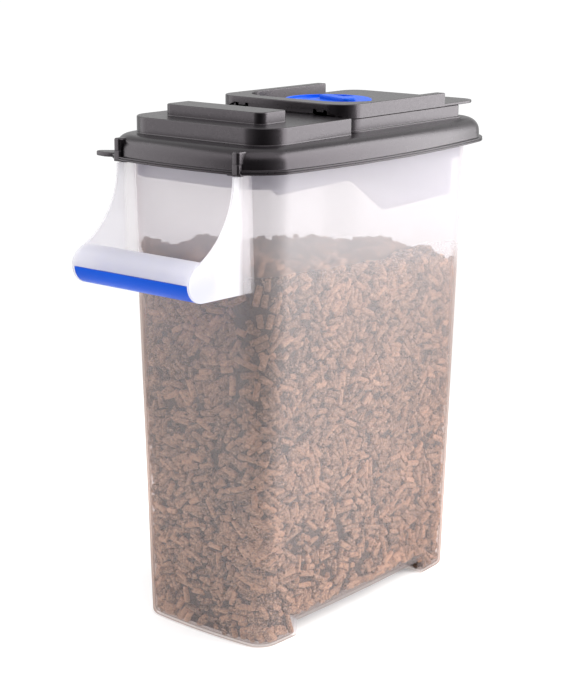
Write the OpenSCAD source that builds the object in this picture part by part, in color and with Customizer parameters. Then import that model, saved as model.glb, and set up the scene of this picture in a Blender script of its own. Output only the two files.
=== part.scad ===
// Pet food storage bin: a tall frosted tub with a moulded carry handle, a lift-off lid,
// a hinged pour door with a quarter-turn catch, a liner with a pour chute, seals and the stored pellets.
// X runs across the bin, Y along it with the handle at -Y, Z up. The origin is the middle of
// the footprint on the floor.

/* [Tub] */
// Width of the tub at the floor
tub_w = 155; // [145:1:160]
// Length of the tub at the floor
tub_l = 301; // [292:1:306]
// Height of the rim that carries the lid
rim_z = 441; // [436:1:446]
// Wall thickness of the tub
wall = 2; // [1.6:0.1:2.6]
// Outward lean of each wall for every millimetre of height
draft = 0.029; // [0.027:0.001:0.030]
// Corner radius at the floor
floor_r = 18; // [14:1:22]
// Corner radius at the rim
rim_r = 35; // [30:1:37]
// How far the middle of each wall bulges past its ends
tub_bow = 4.3; // [3:0.1:5]
// Height of the hollow between the feet
foot_h = 16.5; // [10:0.5:20]
// Distance from the middle of the tub to the inner end of each foot
foot_y = 101; // [90:1:110]

/* [Handle] */
// Distance across the outer faces of the two handle webs
web_w = 137; // [130:1:138]
// Thickness of a handle web
web_t = 2.4; // [2:0.1:3]
// Radius of the nose of each web, round the grip bar
grip_r = 17; // [15:0.5:18]
// Height of the middle of the grip bar
grip_z = 349.5; // [345:0.5:355]
// Distance of the grip bar in front of the middle of the tub
grip_y = 217.5; // [214:0.5:220]

/* [Lid] */
// Width of the lid across its lip
lid_w = 221.6; // [219:0.2:223]
// Length of the lid over its lip
lid_l = 364.8; // [362:0.2:367]
// Height of the lower edge of the lip
lip_z = 434; // [433:0.5:435]
// Thickness of the moulded lid wall
lid_t = 2.5; // [2:0.1:2.8]
// Height of the flat deck of the lid
deck_z = 455.5; // [454:0.5:457]
// Height of the raised platform on the front half
platform_z = 470.3; // [469:0.1:470.5]
// Height of the cross bar on the platform
bar_z = 480.6; // [479:0.1:482]

/* [Pour door] */
// Width of the pour door
door_w = 154; // [150:1:156]
// Radius of the catch knob
knob_r = 41; // [36:1:41]

/* [Contents] */
// Height of the pellets at the middle of the tub
fill_z = 334; // [250:1:336]
// Slope of the heap from the handle end down to the pour end, in degrees
fill_tilt = 7; // [0:1:8]

/* [Hidden] */
$fn = 64;
e = 0.01;

// outline of the lid: how far its sides and ends bulge, and its corner radius
lid_bow_x = 16.8;
lid_bow_y = 9.5;
lid_r = 31.6;
lip_t = 3.4;
skirt_in = 3;

// the rim of the tub inside the skirt of the lid
rim_in = 6.6;
rim_t = 2.4;
seal_gap = 0.35;
seal_top = 446.4;
seal_w = 5;

// ring of the liner that drops inside the tub
plug_gap = 1.4;
plug_t = 2;
plug_z = 419;
plug_top = 446;

// platform and cross bar
plat_w = 166;
plat_front = -153;
plat_rear = -37.5;
plat_r = 27;
bar_w = 114;
bar_front = -130;
bar_rear = -97;
bar_r = 9;

// collar round the pour mouth
collar_front = -38.5;
collar_rear = 142;
collar_top = 467.7;
collar_r = 23;
collar_back_r = 4;
collar_t = 2.6;

// door: a plate with a U-shaped wall, open at the pour end
door_bottom = 468.1;
door_plate_top = 470.6;
door_top = 480.9;
door_front = -38.5;
door_rear = 173;
door_back_r = 18;
door_wall_end = 116;
door_side = 10.5;
door_front_wall = 19;
door_shell = 2.2;
recess_r = 34;
groove_w = 1.6;
groove_d = 1.2;

// hinge: two short pins through the front wall of the door
barrel_r = 5.3;
hinge_y = door_front + barrel_r;
hinge_z = door_top - barrel_r;
pin_r = 1.5;
pin_len = 17;
pin_x = 46;
pin_gap = 0.06;
ear_t = 7;
ear_r = 2.8;
ear_gap = 0.4;
rib_t = 4;
cove_r = 8.2;

// catch
knob_y = 34;
knob_bottom = door_plate_top + 0.3;
knob_h = 5.9;
fin_h = 3.3;
dish_d = 3.6;
shank_r = 6;
shank_gap = 0.08;
boss_h = 3.4;
catch_half = 49;
catch_w = 14;
catch_t = 3.2;
ledge_bottom = 463.6;
ledge_in = 42.5;
ledge_y = 16;
catch_top = ledge_bottom - 0.5;
tenon = 7;
screw_r = 1.5;
screw_len = 9;
screw_head_r = 4;
screw_head_t = 1.6;

// chute
chute_half = 64.5;
chute_low = 378;
chute_front = -32;
chute_rear = 148;
chute_t = 1.8;
plate_in = chute_half - chute_t;
plate_out = 83.5;

web_x = web_w / 2;
web_root = tub_l / 2 - 12;
tube_r = grip_r - 0.4;
tube_t = 2.2;
shift_y = (grip_y + grip_r - lid_l / 2) / 2;

// ---- outlines -------------------------------------------------------------------------

function arc(cx, cy, r, from, sweep, n) =
    [for (i = [0:n]) [cx + r * cos(from + sweep * i / n), cy + r * sin(from + sweep * i / n)]];

function between(a, b, n) = [for (i = [1:n - 1]) a + (b - a) * i / n];

// rounded rectangle whose sides bulge by bx and whose ends bulge by by in the middle
function bulged(hw, hl, r, bx, by, n = 8) =
    let (hx = hw - bx, hy = hl - by, cx = hx - r, cy = hy - r,
         p = concat(arc(cx, cy, r, 0, 90, n), between([cx, hy], [-cx, hy], 8),
                    arc(-cx, cy, r, 90, 90, n), between([-hx, cy], [-hx, -cy], 12),
                    arc(-cx, -cy, r, 180, 90, n), between([-cx, -hy], [cx, -hy], 8),
                    arc(cx, -cy, r, 270, 90, n), between([hx, -cy], [hx, cy], 12)))
    [for (q = p) [q[0] * (1 + bx / hx * (1 - pow(q[1] / hy, 2))),
                  q[1] * (1 + by / hy * (1 - pow(q[0] / hx, 2)))]];

// tub outline at height z, moved in by d
function tub_outline(z, d = 0) =
    bulged(tub_w / 2 + draft * z - d, tub_l / 2 + draft * z - d,
           max(floor_r + (rim_r - floor_r) * z / rim_z - d, 1), tub_bow, tub_bow);

// lid outline moved in by d
function lid_outline(d = 0) =
    bulged(lid_w / 2 - d, lid_l / 2 - d, max(lid_r - d, 1), lid_bow_x, lid_bow_y);

module slab(z, h, points) {
    translate([0, 0, z]) linear_extrude(h) polygon(points);
}

// flat ring between two outlines
module ring(z, h, outer, inner) {
    translate([0, 0, z]) linear_extrude(h) difference() {
        polygon(outer);
        polygon(inner);
    }
}

// rectangle from x -w/2 to w/2 and y0 to y1 with its own corner radius at each end
module plan(w, y0, y1, r0, r1) {
    half = w / 2;
    polygon(concat(arc(half - r1, y1 - r1, r1, 0, 90, 10), arc(-half + r1, y1 - r1, r1, 90, 90, 10),
                   arc(-half + r0, y0 + r0, r0, 180, 90, 10), arc(half - r0, y0 + r0, r0, 270, 90, 10)));
}

module block(z0, z1, w, y0, y1, r0, r1) {
    translate([0, 0, z0]) linear_extrude(z1 - z0) plan(w, y0, y1, r0, r1);
}

module box(x0, x1, y0, y1, z0, z1) {
    translate([x0, y0, z0]) cube([x1 - x0, y1 - y0, z1 - z0]);
}

// rod along X
module rod(x0, x1, y, z, r) {
    translate([x0, y, z]) rotate([0, 90, 0]) cylinder(r = r, h = x1 - x0);
}

module at_place() {
    translate([0, shift_y, 0]) children();
}

// ---- tub --------------------------------------------------------------------------------

// leaning body of the tub between two heights, moved in by d, with a rounded lower edge
module tub_form(z0, z1, d, round) {
    hull() {
        slab(z0, e, tub_outline(z0, d + round));
        slab(z0 + round * 0.3, e, tub_outline(z0, d + round * 0.29));
        slab(z0 + round, e, tub_outline(z0, d));
        slab(z1 - e, e, tub_outline(z1, d));
    }
}

module foot_hollow(grow) {
    translate([-tub_w, -foot_y - grow, -1]) cube([2 * tub_w, 2 * (foot_y + grow), foot_h + grow + 1]);
}

module tub_inside(d) {
    difference() {
        tub_form(wall, rim_z + 1, wall + d, 3);
        foot_hollow(wall + d);
    }
}

// side view of a handle web: Y to the left, Z up, with a hollow curve above the nose
function web_profile() =
    let (top_y = -178, a = 78, b = 75, top_z = lip_z - 1.7)
    concat([[-web_root, grip_z - grip_r - 1.5]],
           arc(-grip_y, grip_z, grip_r, 270, -112, 12),
           [for (i = [0:10]) let (t = 69 - 69 * i / 10) [top_y - a + a * cos(t), top_z - b * sin(t)]],
           [[-web_root, top_z]]);

module web(x0) {
    translate([x0, 0, 0]) rotate([90, 0, 90]) linear_extrude(web_t) polygon(web_profile());
}

// sector of the grip bar, seen along X
module grip_sector(x0, x1, r_out, r_in, upper) {
    difference() {
        rod(x0, x1, -grip_y, grip_z, r_out);
        rod(x0 - 1, x1 + 1, -grip_y, grip_z, r_in);
        translate([x0 - 1, -grip_y - 2 * r_out, upper ? grip_z - 2 * r_out : grip_z])
            cube([x1 - x0 + 2, 4 * r_out, 2 * r_out]);
    }
}

module handle() {
    web(-web_x);
    web(web_x - web_t);
    bar_half = web_x - web_t / 2;
    grip_sector(-bar_half, bar_half, tube_r, tube_r - tube_t, true);
    for (x = [-44:22:44]) grip_sector(x - 0.8, x + 0.8, tube_r - tube_t / 2, 9, true);
}

module bin_body() {
    color([0.92, 0.92, 0.93, 0.55]) at_place() {
        difference() {
            union() {
                tub_form(0, rim_z, 0, 3.5);
                slab(rim_z - rim_t, rim_t, lid_outline(rim_in));
                handle();
            }
            tub_inside(0);
            foot_hollow(0);
        }
    }
}

module grip_cover() {
    half = web_x - web_t - 0.4;
    color("royalblue") at_place()
        translate([0, 0, -0.3]) grip_sector(-half, half, tube_r, tube_r - tube_t, false);
}

// bulk of the pellets, a little clear of the walls
module feed_pellets() {
    color("peru") at_place()
        difference() {
            tub_inside(0.5);
            translate([0, 0, fill_z]) rotate([-fill_tilt, 0, 0])
                translate([-tub_w, -tub_l, 0]) cube([2 * tub_w, 2 * tub_l, rim_z]);
        }
}

// ---- lid --------------------------------------------------------------------------------

// skirt, rounded shoulder and deck as one form, moved in by d and down by d
module lid_form(d) {
    shoulder = 13;
    hull() {
        slab(lip_z, e, lid_outline(skirt_in + d));
        for (t = [0:15:90])
            slab(deck_z - d - shoulder + shoulder * sin(t) - e, e,
                 lid_outline(skirt_in + 1 + d + shoulder * (1 - cos(t))));
    }
}

// pads on the front of the skirt that hook over the two handle webs, deeper above the rim
module lugs() {
    front = lid_l / 2 - 4.9;
    over_rim = rim_z + 0.6;
    for (s = [-1, 1]) {
        x = s * web_x;
        inner = s > 0 ? 10 : 5;
        box(x - 4, x + 4, -front, -front + 6.2, lip_z, over_rim + 1);
        box(x - 4, x + 4, -front, -front + 12, over_rim, deck_z - 2);
        box(x - inner, x + 15 - inner, -front + 1, -front + 6.2, lip_z - 1.1, lip_z + 1);
    }
}

// tongue at the front left corner for lifting the lid
module lift_tab() {
    translate([-90, -158, lip_z]) rotate([0, 0, 196]) hull() {
        box(-4, 6, -9, 9, 0, 4.6);
        translate([13, 0, 1.2]) cylinder(r = 5, h = 2.6, $fn = 32);
    }
}

// hooks that hold the hinge pins, reaching forward from the front edge of the collar
module lid_ears() {
    root_y = hinge_y + 7;
    for (s = [-1, 1]) {
        x = s * pin_x - ear_t / 2;
        rod(x, x + ear_t, hinge_y, hinge_z, ear_r);
        translate([x, 0, 0]) rotate([90, 0, 90]) linear_extrude(ear_t)
            polygon([[hinge_y, hinge_z - 2.2], [hinge_y, hinge_z + 2.6], [root_y - 1, hinge_z + 1.6],
                     [root_y + 4, hinge_z - 1.6], [root_y + 4, collar_top - 1],
                     [root_y, collar_top - 1], [root_y - 1, hinge_z - 4.4],
                     [root_y - 3.4, hinge_z - 2]]);
    }
}

// seat of the seal above the rim
module lid_seat() {
    ring(seal_top, deck_z - lid_t + 0.5 - seal_top, tub_outline(rim_z, -3), tub_outline(rim_z, wall + 1.2));
}

// hollow inside the collar: wide below, narrower at the top edge in front, with two side
// ledges that the catch turns under, and the mouth through the deck
module collar_hollow() {
    inner = door_w - 1 - 2 * collar_t;
    lip_front = door_front + door_front_wall + 2.5;
    difference() {
        union() {
            block(deck_z, ledge_bottom, inner, collar_front + 12, collar_rear - collar_t, 12, 2);
            block(ledge_bottom - 1, collar_top + 1, inner, lip_front, collar_rear - collar_t, 4, 2);
        }
        for (s = [-1, 1])
            box(min(s * ledge_in, s * door_w), max(s * ledge_in, s * door_w),
                knob_y - ledge_y, knob_y + ledge_y, ledge_bottom, collar_top + 2);
    }
    block(deck_z - 2 * lid_t, deck_z + 1, 2 * (chute_half - chute_t) - 1, collar_front + 12,
          collar_rear - collar_t - 2, 6, 6);
}

module lid_outside() {
    difference() {
        union() {
            slab(lip_z, lip_t, lid_outline());
            lid_form(0);
        }
        translate([0, 0, -e]) lid_form(lid_t);
        slab(lip_z - 1, lip_t + 1 + e, lid_outline(skirt_in + lid_t));
    }
    lid_seat();
    lugs();
    lift_tab();
    block(deck_z - lid_t, platform_z, plat_w, plat_front, plat_rear, plat_r, 1);
    block(platform_z - 1, bar_z, bar_w, bar_front, bar_rear, bar_r, 1);
    block(deck_z - lid_t, collar_top, door_w - 1, collar_front, collar_rear, collar_r, collar_back_r);
    block(deck_z - 1, deck_z + 1.6, door_w + 3, collar_front, collar_rear + 2, collar_r, 5);
}

module lid() {
    color([0.17, 0.17, 0.18]) at_place() difference() {
        union() {
            difference() {
                lid_outside();
                // hollows under the platform and the bar
                block(deck_z - 2 * lid_t, platform_z - lid_t, plat_w - 2 * lid_t, plat_front + lid_t,
                      plat_rear - lid_t, plat_r - lid_t, 1);
                block(platform_z - 2 * lid_t, bar_z - lid_t, bar_w - 2 * lid_t, bar_front + lid_t,
                      bar_rear - lid_t, bar_r - lid_t, 1);
                collar_hollow();
                // cove that lets the front edge of the door swing
                rod(-door_w / 2 - 0.4, door_w / 2 + 0.4, hinge_y, hinge_z, cove_r);
            }
            lid_ears();
        }
        for (s = [-1, 1]) rod(s * pin_x - ear_t, s * pin_x + ear_t, hinge_y, hinge_z, pin_r);
    }
}

module lid_gasket() {
    color("gainsboro") at_place()
        ring(rim_z + seal_gap, seal_top - rim_z - seal_gap, tub_outline(rim_z, wall / 2 - seal_w / 2),
             tub_outline(rim_z, wall / 2 + seal_w / 2));
}

// liner under the lid: a ring that drops inside the tub and, joined to it by two side plates,
// a three-sided tongue below the mouth that keeps the pellets in one stream
module pour_chute() {
    top = deck_z - lid_t - 0.1;
    side = [[chute_front, top], [chute_front, 424], [37, chute_low], [chute_rear, chute_low + 2],
            [chute_rear, top]];
    plug_in = wall + plug_gap;
    color([0.62, 0.64, 0.72, 0.8]) at_place() {
        for (x = [-chute_half, chute_half - chute_t])
            translate([x, 0, 0]) rotate([90, 0, 90]) linear_extrude(chute_t) polygon(side);
        box(-chute_half, chute_half, chute_rear - chute_t, chute_rear, chute_low + 2, top);
        for (s = [-1, 1])
            box(min(s * plate_in, s * plate_out), max(s * plate_in, s * plate_out), chute_front,
                chute_rear - 28, plug_top - chute_t, plug_top);
        ring(plug_z, plug_top - plug_z, tub_outline(plug_z, plug_in), tub_outline(plug_z, plug_in + plug_t));
    }
}

// ---- door -------------------------------------------------------------------------------

module door_plan() {
    plan(door_w, door_front, door_rear, collar_r, door_back_r);
}

module seal_plan(d) {
    plan(door_w - 1 - collar_t + 2 * d, door_front + door_front_wall + 1 - d,
         collar_rear - collar_t / 2 + d, 4 + d, 3 + d);
}

// plate with the U-shaped wall on it; the front wall is hollow and open below
module door_form() {
    recess = door_front + door_front_wall;
    difference() {
        union() {
            translate([0, 0, door_bottom]) linear_extrude(door_plate_top - door_bottom) door_plan();
            translate([0, 0, door_bottom]) linear_extrude(door_top - door_bottom) difference() {
                intersection() {
                    door_plan();
                    translate([-door_w, -door_w]) square([2 * door_w, door_w + door_wall_end]);
                }
                plan(door_w - 2 * door_side, recess, door_rear, recess_r, 1);
            }
        }
        translate([0, 0, door_bottom - 1]) linear_extrude(door_top - door_shell - door_bottom + 1)
            plan(2 * (pin_x + 18), door_front + door_shell, recess - door_shell, 11, 1);
    }
}

// plates inside the front wall on both sides of each hook
module hinge_ribs() {
    for (s = [-1, 1], k = [-1, 1])
        translate([s * pin_x + k * (ear_t + rib_t + 2 * ear_gap) / 2 - rib_t / 2, 0, 0]) {
            box(0, rib_t, door_front + 1, door_front + door_front_wall - 1, door_bottom, door_top - 1);
        }
}

module pour_door() {
    color([0.18, 0.18, 0.19]) at_place() difference() {
        union() {
            door_form();
            hinge_ribs();
            // stiffening bead under the finger edge
            box(-55, 55, door_rear - 6, door_rear - 4, door_bottom - 2.5, door_bottom + 1);
            translate([0, knob_y, door_bottom - boss_h]) cylinder(r = shank_r + 4, h = boss_h + 1);
        }
        // round the lower front edge about the hinge
        difference() {
            box(-door_w, door_w, door_front - 1, hinge_y, door_bottom - 1, hinge_z);
            rod(-door_w - 1, door_w + 1, hinge_y, hinge_z, barrel_r);
        }
        // room for the hooks as the door swings
        for (s = [-1, 1])
            box(s * pin_x - ear_t / 2 - ear_gap, s * pin_x + ear_t / 2 + ear_gap, door_front - 1,
                hinge_y + 1, door_bottom - 1, hinge_z - 2.4);
        for (s = [-1, 1])
            rod(s * pin_x - pin_len / 2, s * pin_x + pin_len / 2, hinge_y, hinge_z, pin_r + pin_gap);
        // bearing of the catch
        translate([0, knob_y, door_bottom - boss_h - 1]) cylinder(r = shank_r + shank_gap, h = 12);
        // groove of the seal
        translate([0, 0, door_bottom - 1]) linear_extrude(groove_d + 1) difference() {
            seal_plan(groove_w / 2);
            seal_plan(-groove_w / 2);
        }
    }
}

module door_gasket() {
    color("dimgray") at_place()
        translate([0, 0, door_bottom - 0.15]) linear_extrude(groove_d + 0.15) difference() {
            seal_plan(groove_w / 2);
            seal_plan(-groove_w / 2);
        }
}

module hinge_pins() {
    color("silver") at_place()
        for (s = [-1, 1]) rod(s * pin_x - pin_len / 2, s * pin_x + pin_len / 2, hinge_y, hinge_z, pin_r);
}

// ---- catch --------------------------------------------------------------------------------

// round knob: one half is dished for the finger, the other carries a raised grip
module catch_knob() {
    color("royalblue") at_place() translate([0, knob_y, 0]) difference() {
        union() {
            translate([0, 0, knob_bottom]) cylinder(r = knob_r, h = knob_h);
            translate([0, 0, knob_bottom + knob_h - 1]) intersection() {
                cylinder(r = knob_r - 1, h = fin_h + 1);
                rotate([0, 0, -19]) box(-6, knob_r + 1, -7, 7, 0, fin_h + 1);
            }
            translate([0, 0, catch_top]) cylinder(r = shank_r, h = knob_bottom - catch_top + 1);
            box(-tenon / 2, tenon / 2, -tenon / 2, tenon / 2, catch_top - catch_t, catch_top + 1);
        }
        translate([0, 0, knob_bottom + knob_h - dish_d]) rotate([0, 0, -19]) intersection() {
            cylinder(r = knob_r - 4, h = 2 * dish_d);
            box(-knob_r, -9, -knob_r, knob_r, 0, 2 * dish_d);
        }
        translate([0, 0, catch_top - catch_t - 1]) cylinder(r = screw_r, h = screw_len + 1);
    }
}

// bar that turns under the two ledges of the collar
module catch_bar() {
    color("dimgray") at_place() translate([0, knob_y, catch_top - catch_t]) difference() {
        union() {
            box(-catch_w / 2, catch_w / 2, -catch_half, catch_half, 0, catch_t);
            cylinder(r = 11, h = catch_t);
        }
        box(-tenon / 2, tenon / 2, -tenon / 2, tenon / 2, -1, catch_t + 1);
    }
}

module catch_screw() {
    color("silver") at_place() translate([0, knob_y, catch_top - catch_t]) {
        translate([0, 0, -screw_head_t]) difference() {
            cylinder(r = screw_head_r, h = screw_head_t);
            for (a = [0, 90]) rotate([0, 0, a]) box(-2.6, 2.6, -0.5, 0.5, -1, 0.9);
        }
        cylinder(r = screw_r, h = screw_len - 0.5);
    }
}

bin_body();
grip_cover();
feed_pellets();
lid();
lid_gasket();
pour_chute();
pour_door();
door_gasket();
hinge_pins();
catch_knob();
catch_bar();
catch_screw();
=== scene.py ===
"""Looks of the pet food bin: frosted tub full of pellets, black lid and door, blue grip and knob.

Shapes are built in millimetres in the tub's own frame (X across, Y from handle to pour end, Z up),
then moved to the row frame in metres by finish_piece().
"""

import math

import bpy
import numpy as np
from mathutils import Matrix, Vector


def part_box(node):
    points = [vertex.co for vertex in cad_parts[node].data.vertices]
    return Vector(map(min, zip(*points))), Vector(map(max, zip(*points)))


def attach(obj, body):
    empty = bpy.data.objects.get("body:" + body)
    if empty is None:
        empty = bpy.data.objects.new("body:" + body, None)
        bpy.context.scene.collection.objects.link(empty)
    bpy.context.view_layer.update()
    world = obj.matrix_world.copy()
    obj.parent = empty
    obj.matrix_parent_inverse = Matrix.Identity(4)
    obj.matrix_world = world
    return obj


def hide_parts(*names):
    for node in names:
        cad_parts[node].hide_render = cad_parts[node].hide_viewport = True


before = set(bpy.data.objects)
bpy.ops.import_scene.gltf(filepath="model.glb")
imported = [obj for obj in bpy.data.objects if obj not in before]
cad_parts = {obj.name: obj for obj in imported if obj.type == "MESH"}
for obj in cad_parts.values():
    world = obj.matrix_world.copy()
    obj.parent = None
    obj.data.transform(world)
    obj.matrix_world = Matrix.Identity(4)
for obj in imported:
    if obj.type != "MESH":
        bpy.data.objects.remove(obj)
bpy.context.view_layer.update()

MM = 0.001
PAINTED_LIGHT_LOW = 0.05     # metres above the floor where the wall starts to turn milkier upwards: painted light for the glow that comes through it
PAINTED_LIGHT_HIGH = 0.37    # and where it is milkiest
HANDLE_Y = -0.141   # beyond this the plastic is the thick handle
FILL_Z = 0.325      # where the pellets end at the wall, roughly
rng = np.random.default_rng(7)

# ---- sizes in mm, from the frame -------------------------------------------------------------
lid_low, lid_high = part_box("lid")
tub_low, tub_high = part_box("bin_body")
door_low, door_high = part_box("pour_door")
pin_low, pin_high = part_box("hinge_pins")
bar_low, bar_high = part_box("catch_bar")
knob_low, knob_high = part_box("catch_knob")
grip_low, grip_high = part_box("grip_cover")

shift_y = (lid_low.y + lid_high.y) / 2 / MM
rim_z = tub_high.z / MM
lid_l = (lid_high.y - lid_low.y) / MM
lid_w = 2 * lid_high.x / MM
bar_z = lid_high.z / MM
door_w = (door_high.x - door_low.x) / MM
door_front = door_low.y / MM - shift_y
door_rear = door_high.y / MM - shift_y
door_top = door_high.z / MM
hinge_y = (pin_low.y + pin_high.y) / 2 / MM - shift_y
hinge_z = (pin_low.z + pin_high.z) / 2 / MM
knob_y = (bar_low.y + bar_high.y) / 2 / MM - shift_y
knob_r = (knob_high.x - knob_low.x) / 2 / MM
grip_half = (grip_high.x - grip_low.x) / 2 / MM

# tub
tub_w = 155
tub_l = 301
wall = 2
draft = 0.029
floor_r = 18
rim_r = 35
tub_bow = 4.3
foot_h = 16.5
foot_y = 101

# handle
web_x = 68.5
web_t = 2.4
nose_r = 17
tube_r = 16.6
tube_t = 2.2
rib_r = 9           # inner edge of the ribs in the grip
rib_t = 1.6
rib_places = (-44, -22, 0, 22, 44)
grip_z = grip_high.z / MM + 0.3
grip_y = -(tub_low.y / MM - shift_y + nose_r)

# lid
lid_bow_x = 16.8
lid_bow_y = 9.5
lid_r = 31.6
lip_z = 434
lip_t = 3.4
skirt_in = 3
lid_t = 2.5
shoulder = 13
deck_z = 455.5
platform_z = 470.3
collar_front = door_front
collar_rear = 142
collar_top = 467.7
ledge_bottom = 463.6
ledge_in = 42.5
ledge_y = 16
seal_top = 446.4
cove_r = 8.2        # hollow that the front wall of the door turns in
# plans: width, front, rear, corner radius in front and at the rear
platform = (166, -153, -37.5, 27, 1.6)
platform_hollow = (161, -150.5, -40, 24.5, 1)
cross_bar = (114, -130, -97, 9, 1.6)
bar_hollow = (109, -127.5, -99.5, 6.5, 1)
collar = (door_w - 1, collar_front, collar_rear, 23, 4)
collar_base = (door_w + 3, collar_front, collar_rear + 2, 23, 5)
collar_t = 2.6
mouth_w = 124.4

# door
door_bottom = 468.1
plate_top = 470.6
wall_end = 116
door_side = 10.5
front_wall = 19
door_shell = 2.2
recess_r = 34
pin_r = 1.5
pin_x = 46
pin_len = 17
ear_t = 7
ear_gap = 0.4
door_rib_t = 4
barrel_r = 5.3      # round of the front wall about the pins

# catch
knob_h = 5.9
knob_turn = -19     # degrees that the grip of the knob is turned
grip_fin_h = 3.3
dish_depth = 3.6
shank_r = 6
shank_gap = 0.08
boss_h = 3.4
tenon_half = 3.5
screw_r = 1.5

# pellets
fill_z = 334
fill_slope = math.tan(math.radians(7))
pellet_r = 3.0
core_depth = 5.0    # from the inside of the wall to the core, painted dark as the shade among the pellets


# ---- shape helpers ---------------------------------------------------------------------------
def arc(cx, cy, r, start, sweep, n):
    """n + 1 points of an arc, angles in degrees."""
    a = np.radians(start + sweep * np.arange(n + 1) / n)
    return np.stack([cx + r * np.cos(a), cy + r * np.sin(a)], 1)


def between(a, b, n):
    """The n - 1 points that split the line from a to b."""
    t = np.arange(1, n)[:, None] / n
    return np.asarray(a, float) + (np.asarray(b, float) - np.asarray(a, float)) * t


def bulged(hw, hl, r, bow_x, bow_y):
    """Rounded rectangle whose sides and ends bulge in the middle."""
    hx, hy = hw - bow_x, hl - bow_y
    cx, cy = hx - r, hy - r
    n, nx, ny = 14, 12, 20
    p = np.concatenate([
        arc(cx, cy, r, 0, 90, n), between((cx, hy), (-cx, hy), nx),
        arc(-cx, cy, r, 90, 90, n), between((-hx, cy), (-hx, -cy), ny),
        arc(-cx, -cy, r, 180, 90, n), between((-cx, -hy), (cx, -hy), nx),
        arc(cx, -cy, r, 270, 90, n), between((hx, -cy), (hx, cy), ny)])
    x, y = p[:, 0], p[:, 1]
    return np.stack([x * (1 + bow_x / hx * (1 - (y / hy) ** 2)),
                     y * (1 + bow_y / hy * (1 - (x / hx) ** 2))], 1)


def tub_outline(z, d=0):
    """Outline of the tub at height z, moved in by d."""
    radius = max(floor_r + (rim_r - floor_r) * z / rim_z - d, 1)
    return bulged(tub_w / 2 + draft * z - d, tub_l / 2 + draft * z - d, radius, tub_bow, tub_bow)


def lid_outline(d=0):
    """Outline of the lid moved in by d."""
    return bulged(lid_w / 2 - d, lid_l / 2 - d, max(lid_r - d, 1), lid_bow_x, lid_bow_y)


def plan(w, y0, y1, r0, r1, n=12):
    """Rectangle across X with its own corner radius at each end."""
    h = w / 2
    return np.concatenate([arc(h - r1, y1 - r1, r1, 0, 90, n), arc(-h + r1, y1 - r1, r1, 90, 90, n),
                           arc(-h + r0, y0 + r0, r0, 180, 90, n), arc(h - r0, y0 + r0, r0, 270, 90, n)])


def inset(loop, d):
    """A counter-clockwise loop moved in by d."""
    p = np.asarray(loop, float)
    after = np.roll(p, -1, 0) - p
    after /= np.linalg.norm(after, axis=1)[:, None]
    before = np.roll(after, 1, 0)
    n1 = np.stack([-before[:, 1], before[:, 0]], 1)
    n2 = np.stack([-after[:, 1], after[:, 0]], 1)
    return p + d * (n1 + n2) / (1 + (n1 * n2).sum(1))[:, None]


def rounded(points, steps=5, closed=False):
    """A line through (x, y, radius) points, with its corners as arcs."""
    out = []
    count = len(points)
    for i, (x, y, r) in enumerate(points):
        if r <= 0 or (not closed and i in (0, count - 1)):
            out.append((x, y))
            continue
        p = Vector((x, y))
        u = (Vector(points[i - 1][:2]) - p).normalized()
        v = (Vector(points[(i + 1) % count][:2]) - p).normalized()
        half = u.angle(v) / 2
        centre = p + (u + v).normalized() * (r / math.sin(half))
        start = p + u * (r / math.tan(half)) - centre
        end = p + v * (r / math.tan(half)) - centre
        a0 = math.atan2(start.y, start.x)
        sweep = (math.atan2(end.y, end.x) - a0 + math.pi) % (2 * math.pi) - math.pi
        out += [(centre.x + r * math.cos(a0 + sweep * k / steps),
                 centre.y + r * math.sin(a0 + sweep * k / steps)) for k in range(steps + 1)]
    return out


def link(name, verts, faces):
    mesh = bpy.data.meshes.new(name)
    mesh.from_pydata([tuple(map(float, v)) for v in verts], [], faces)
    obj = bpy.data.objects.new(name, mesh)
    bpy.context.scene.collection.objects.link(obj)
    return obj


def ring_solid(rings, name="solid"):
    """Closed solid through rings with the same number of points."""
    n = len(rings[0])
    faces = [(k * n + i, k * n + (i + 1) % n, (k + 1) * n + (i + 1) % n, (k + 1) * n + i)
             for k in range(len(rings) - 1) for i in range(n)]
    faces.append(tuple(reversed(range(n))))
    faces.append(tuple(range((len(rings) - 1) * n, len(rings) * n)))
    return link(name, np.concatenate(rings), faces)


def at_z(loop, z):
    return np.column_stack([loop, np.full(len(loop), z)])


def at_x(loop, x):
    return np.column_stack([np.full(len(loop), x), loop])


def raised(outline, profile, name="solid"):
    """Solid whose outline is moved in by d at height z, for each (d, z) of the profile."""
    return ring_solid([at_z(outline(d), z) for d, z in profile], name)


def prism(loop, z0, z1, edge0=0.0, edge1=0.0, name="solid"):
    """Upright prism on a counter-clockwise loop, with its lower and upper edges rounded."""
    loop = np.asarray(loop, float)
    return ring_solid([at_z(inset(loop, d), z) for d, z in edge_stations(z0, z1, edge0, edge1)], name)


def cross_prism(loop, x0, x1, edge=0.0, name="solid"):
    """Prism along X on a loop of (y, z), with rounded edges."""
    loop = np.asarray(loop, float)
    return ring_solid([at_x(inset(loop, d), x) for d, x in edge_stations(x0, x1, edge, edge)], name)


def edge_stations(a, b, r0, r1, steps=4):
    """(inset, position) pairs from a to b, with quarter rounds of r0 and r1 at the two ends."""
    t = [math.pi / 2 * k / steps for k in range(steps + 1)]
    low = [(r0 * (1 - math.sin(k)), a + r0 * (1 - math.cos(k))) for k in t] if r0 else [(0, a)]
    high = [(r1 * (1 - math.cos(k)), b - r1 * (1 - math.sin(k))) for k in t] if r1 else [(0, b)]
    return low + high


def rod(x0, x1, y, z, r, n=40, edge=0.0):
    """Rod along X."""
    return cross_prism(arc(y, z, r, 0, 360, n)[:-1], x0, x1, edge)


def box(x0, x1, y0, y1, z0, z1, edge=0.0):
    loop = [(x0, y0), (x1, y0), (x1, y1), (x0, y1)]
    if edge:
        loop = rounded([(x, y, edge * 1.6) for x, y in loop], 4, closed=True)
    return prism(loop, z0, z1, edge, edge)


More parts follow.
